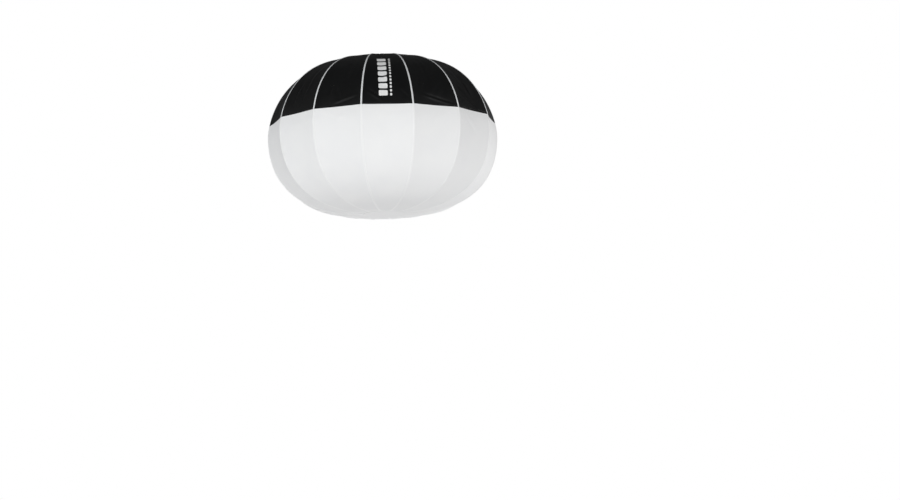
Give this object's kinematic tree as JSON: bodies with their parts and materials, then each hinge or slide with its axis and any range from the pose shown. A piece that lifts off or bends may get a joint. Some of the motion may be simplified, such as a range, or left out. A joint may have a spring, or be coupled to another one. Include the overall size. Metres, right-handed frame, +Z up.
{
  "type": "lantern softbox",
  "caption": "Pumpkin-shaped lantern softbox: black upper skirt and white closed diffuser over a folding rib frame, hung from a lamp by a bayonet ring.",
  "frame": {"origin": "centre of the seat face on top, where the bayonet ring meets the lamp", "axes": "+Z up, out of the lantern towards the lamp and along its axis of symmetry; the middle of the front gore faces -Y"},
  "size_m": [1.2, 1.17, 0.8445],
  "materials": {
    "ring_aluminium": "satin turned aluminium",
    "steel": "bright spring steel",
    "black_plastic": "black glass-filled nylon, fine grain",
    "rod_black": "black pultruded glass fibre, satin",
    "button_plastic": "red moulded plastic",
    "black_nylon": "black coated nylon with pale tape on the ribs",
    "white_cloth": "white translucent polyester"
  },
  "bodies": {
    "ring": {"bayonet_ring": "ring_aluminium", "bayonet_screw_1": "steel", "bayonet_screw_2": "steel", "bayonet_screw_3": "steel", "speed_ring": "ring_aluminium", "ring_wire": "steel", "collar_stop_ring": "steel", "skirt": "black_nylon", "diffuser": "white_cloth"},
    "collar": {"opening_collar": "black_plastic"},
    "button_front": {"release_button_front": "button_plastic"},
    "button_back": {"release_button_back": "button_plastic"},
    "hub": {"bottom_hub": "black_plastic", "hub_cover": "black_plastic", "hub_wire": "steel", "hub_screw": "steel"},
    "upper_01": {"rib_holder_01": "black_plastic", "rib_upper_01": "rod_black"},
    "lower_01": {"rib_lower_01": "rod_black"},
    "upper_02": {"rib_holder_02": "black_plastic", "rib_upper_02": "rod_black"},
    "lower_02": {"rib_lower_02": "rod_black"},
    "upper_03": {"rib_holder_03": "black_plastic", "rib_upper_03": "rod_black"},
    "lower_03": {"rib_lower_03": "rod_black"},
    "upper_04": {"rib_holder_04": "black_plastic", "rib_upper_04": "rod_black"},
    "lower_04": {"rib_lower_04": "rod_black"},
    "upper_05": {"rib_holder_05": "black_plastic", "rib_upper_05": "rod_black"},
    "lower_05": {"rib_lower_05": "rod_black"},
    "upper_06": {"rib_holder_06": "black_plastic", "rib_upper_06": "rod_black"},
    "lower_06": {"rib_lower_06": "rod_black"},
    "upper_07": {"rib_holder_07": "black_plastic", "rib_upper_07": "rod_black"},
    "lower_07": {"rib_lower_07": "rod_black"},
    "upper_08": {"rib_holder_08": "black_plastic", "rib_upper_08": "rod_black"},
    "lower_08": {"rib_lower_08": "rod_black"},
    "upper_09": {"rib_holder_09": "black_plastic", "rib_upper_09": "rod_black"},
    "lower_09": {"rib_lower_09": "rod_black"},
    "upper_10": {"rib_holder_10": "black_plastic", "rib_upper_10": "rod_black"},
    "lower_10": {"rib_lower_10": "rod_black"},
    "upper_11": {"rib_holder_11": "black_plastic", "rib_upper_11": "rod_black"},
    "lower_11": {"rib_lower_11": "rod_black"},
    "upper_12": {"rib_holder_12": "black_plastic", "rib_upper_12": "rod_black"},
    "lower_12": {"rib_lower_12": "rod_black"},
    "upper_13": {"rib_holder_13": "black_plastic", "rib_upper_13": "rod_black"},
    "lower_13": {"rib_lower_13": "rod_black"},
    "upper_14": {"rib_holder_14": "black_plastic", "rib_upper_14": "rod_black"},
    "lower_14": {"rib_lower_14": "rod_black"}
  },
  "joints": [
    {"name": "fold_01", "type": "hinge", "parent": "ring", "child": "upper_01", "pos_m": [0.01891, -0.08287, -0.0255], "axis": [0.9749, 0.2225, 0], "range_deg": [0, 50], "deforming": ["skirt", "diffuser"]},
    {"name": "knuckle_01", "type": "hinge", "parent": "upper_01", "child": "lower_01", "pos_m": [0.13184, -0.57764, -0.425], "axis": [0.9749, 0.2225, 0], "range_deg": [-100, 0]},
    {"name": "fold_02", "type": "hinge", "parent": "ring", "child": "upper_02", "pos_m": [0.053, -0.06646, -0.0255], "axis": [0.7818, 0.6235, 0], "range_deg": [0, 50]},
    {"name": "knuckle_02", "type": "hinge", "parent": "upper_02", "child": "lower_02", "pos_m": [0.36942, -0.46324, -0.425], "axis": [0.7818, 0.6235, 0], "range_deg": [-100, 0]},
    {"name": "fold_03", "type": "hinge", "parent": "ring", "child": "upper_03", "pos_m": [0.07658, -0.03688, -0.0255], "axis": [0.4339, 0.901, 0], "range_deg": [0, 50]},
    {"name": "knuckle_03", "type": "hinge", "parent": "upper_03", "child": "lower_03", "pos_m": [0.53382, -0.25708, -0.425], "axis": [0.4339, 0.901, 0], "range_deg": [-100, 0]},
    {"name": "fold_04", "type": "hinge", "parent": "ring", "child": "upper_04", "pos_m": [0.085, 0, -0.0255], "axis": [0, 1, 0], "range_deg": [0, 50]},
    {"name": "knuckle_04", "type": "hinge", "parent": "upper_04", "child": "lower_04", "pos_m": [0.5925, 0, -0.425], "axis": [0, 1, 0], "range_deg": [-100, 0]},
    {"name": "fold_05", "type": "hinge", "parent": "ring", "child": "upper_05", "pos_m": [0.07658, 0.03688, -0.0255], "axis": [-0.4339, 0.901, 0], "range_deg": [0, 50]},
    {"name": "knuckle_05", "type": "hinge", "parent": "upper_05", "child": "lower_05", "pos_m": [0.53382, 0.25708, -0.425], "axis": [-0.4339, 0.901, 0], "range_deg": [-100, 0]},
    {"name": "fold_06", "type": "hinge", "parent": "ring", "child": "upper_06", "pos_m": [0.053, 0.06646, -0.0255], "axis": [-0.7818, 0.6235, 0], "range_deg": [0, 50]},
    {"name": "knuckle_06", "type": "hinge", "parent": "upper_06", "child": "lower_06", "pos_m": [0.36942, 0.46324, -0.425], "axis": [-0.7818, 0.6235, 0], "range_deg": [-100, 0]},
    {"name": "fold_07", "type": "hinge", "parent": "ring", "child": "upper_07", "pos_m": [0.01891, 0.08287, -0.0255], "axis": [-0.9749, 0.2225, 0], "range_deg": [0, 50]},
    {"name": "knuckle_07", "type": "hinge", "parent": "upper_07", "child": "lower_07", "pos_m": [0.13184, 0.57764, -0.425], "axis": [-0.9749, 0.2225, 0], "range_deg": [-100, 0]},
    {"name": "fold_08", "type": "hinge", "parent": "ring", "child": "upper_08", "pos_m": [-0.01891, 0.08287, -0.0255], "axis": [-0.9749, -0.2225, 0], "range_deg": [0, 50]},
    {"name": "knuckle_08", "type": "hinge", "parent": "upper_08", "child": "lower_08", "pos_m": [-0.13184, 0.57764, -0.425], "axis": [-0.9749, -0.2225, 0], "range_deg": [-100, 0]},
    {"name": "fold_09", "type": "hinge", "parent": "ring", "child": "upper_09", "pos_m": [-0.053, 0.06646, -0.0255], "axis": [-0.7818, -0.6235, 0], "range_deg": [0, 50]},
    {"name": "knuckle_09", "type": "hinge", "parent": "upper_09", "child": "lower_09", "pos_m": [-0.36942, 0.46324, -0.425], "axis": [-0.7818, -0.6235, 0], "range_deg": [-100, 0]},
    {"name": "fold_10", "type": "hinge", "parent": "ring", "child": "upper_10", "pos_m": [-0.07658, 0.03688, -0.0255], "axis": [-0.4339, -0.901, 0], "range_deg": [0, 50]},
    {"name": "knuckle_10", "type": "hinge", "parent": "upper_10", "child": "lower_10", "pos_m": [-0.53382, 0.25708, -0.425], "axis": [-0.4339, -0.901, 0], "range_deg": [-100, 0]},
    {"name": "fold_11", "type": "hinge", "parent": "ring", "child": "upper_11", "pos_m": [-0.085, 0, -0.0255], "axis": [0, -1, 0], "range_deg": [0, 50]},
    {"name": "knuckle_11", "type": "hinge", "parent": "upper_11", "child": "lower_11", "pos_m": [-0.5925, 0, -0.425], "axis": [0, -1, 0], "range_deg": [-100, 0]},
    {"name": "fold_12", "type": "hinge", "parent": "ring", "child": "upper_12", "pos_m": [-0.07658, -0.03688, -0.0255], "axis": [0.4339, -0.901, 0], "range_deg": [0, 50]},
    {"name": "knuckle_12", "type": "hinge", "parent": "upper_12", "child": "lower_12", "pos_m": [-0.53382, -0.25708, -0.425], "axis": [0.4339, -0.901, 0], "range_deg": [-100, 0]},
    {"name": "fold_13", "type": "hinge", "parent": "ring", "child": "upper_13", "pos_m": [-0.053, -0.06646, -0.0255], "axis": [0.7818, -0.6235, 0], "range_deg": [0, 50]},
    {"name": "knuckle_13", "type": "hinge", "parent": "upper_13", "child": "lower_13", "pos_m": [-0.36942, -0.46324, -0.425], "axis": [0.7818, -0.6235, 0], "range_deg": [-100, 0]},
    {"name": "fold_14", "type": "hinge", "parent": "ring", "child": "upper_14", "pos_m": [-0.01891, -0.08287, -0.0255], "axis": [0.9749, -0.2225, 0], "range_deg": [0, 50]},
    {"name": "knuckle_14", "type": "hinge", "parent": "upper_14", "child": "lower_14", "pos_m": [-0.13184, -0.57764, -0.425], "axis": [0.9749, -0.2225, 0], "range_deg": [-100, 0]},
    {"name": "hub_level", "type": "hinge", "parent": "lower_01", "child": "hub", "pos_m": [0.01891, -0.08287, -0.8245], "axis": [0.9749, 0.2225, 0], "range_deg": [0, 50]},
    {"name": "collar_slide", "type": "slide", "parent": "ring", "child": "collar", "axis": [0, 0, 1], "range_m": [0, 0.0169]},
    {"name": "button_front_push", "type": "slide", "parent": "ring", "child": "button_front", "axis": [0, 1, 0], "range_m": [0, 0.0025], "stiffness_N_per_m": 300},
    {"name": "button_back_push", "type": "slide", "parent": "ring", "child": "button_back", "axis": [0, -1, 0], "range_m": [0, 0.0025], "stiffness_N_per_m": 300}
  ],
  "couplings": [
    {"joint": "knuckle_01", "follows": "fold_01", "ratio": -2},
    {"joint": "fold_02", "follows": "fold_01", "ratio": 1},
    {"joint": "knuckle_02", "follows": "fold_01", "ratio": -2},
    {"joint": "fold_03", "follows": "fold_01", "ratio": 1},
    {"joint": "knuckle_03", "follows": "fold_01", "ratio": -2},
    {"joint": "fold_04", "follows": "fold_01", "ratio": 1},
    {"joint": "knuckle_04", "follows": "fold_01", "ratio": -2},
    {"joint": "fold_05", "follows": "fold_01", "ratio": 1},
    {"joint": "knuckle_05", "follows": "fold_01", "ratio": -2},
    {"joint": "fold_06", "follows": "fold_01", "ratio": 1},
    {"joint": "knuckle_06", "follows": "fold_01", "ratio": -2},
    {"joint": "fold_07", "follows": "fold_01", "ratio": 1},
    {"joint": "knuckle_07", "follows": "fold_01", "ratio": -2},
    {"joint": "fold_08", "follows": "fold_01", "ratio": 1},
    {"joint": "knuckle_08", "follows": "fold_01", "ratio": -2},
    {"joint": "fold_09", "follows": "fold_01", "ratio": 1},
    {"joint": "knuckle_09", "follows": "fold_01", "ratio": -2},
    {"joint": "fold_10", "follows": "fold_01", "ratio": 1},
    {"joint": "knuckle_10", "follows": "fold_01", "ratio": -2},
    {"joint": "fold_11", "follows": "fold_01", "ratio": 1},
    {"joint": "knuckle_11", "follows": "fold_01", "ratio": -2},
    {"joint": "fold_12", "follows": "fold_01", "ratio": 1},
    {"joint": "knuckle_12", "follows": "fold_01", "ratio": -2},
    {"joint": "fold_13", "follows": "fold_01", "ratio": 1},
    {"joint": "knuckle_13", "follows": "fold_01", "ratio": -2},
    {"joint": "fold_14", "follows": "fold_01", "ratio": 1},
    {"joint": "knuckle_14", "follows": "fold_01", "ratio": -2},
    {"joint": "hub_level", "follows": "fold_01", "ratio": 1},
    {"joint": "collar_slide", "follows": "fold_01", "m_per_rad": 0.019371}
  ]
}
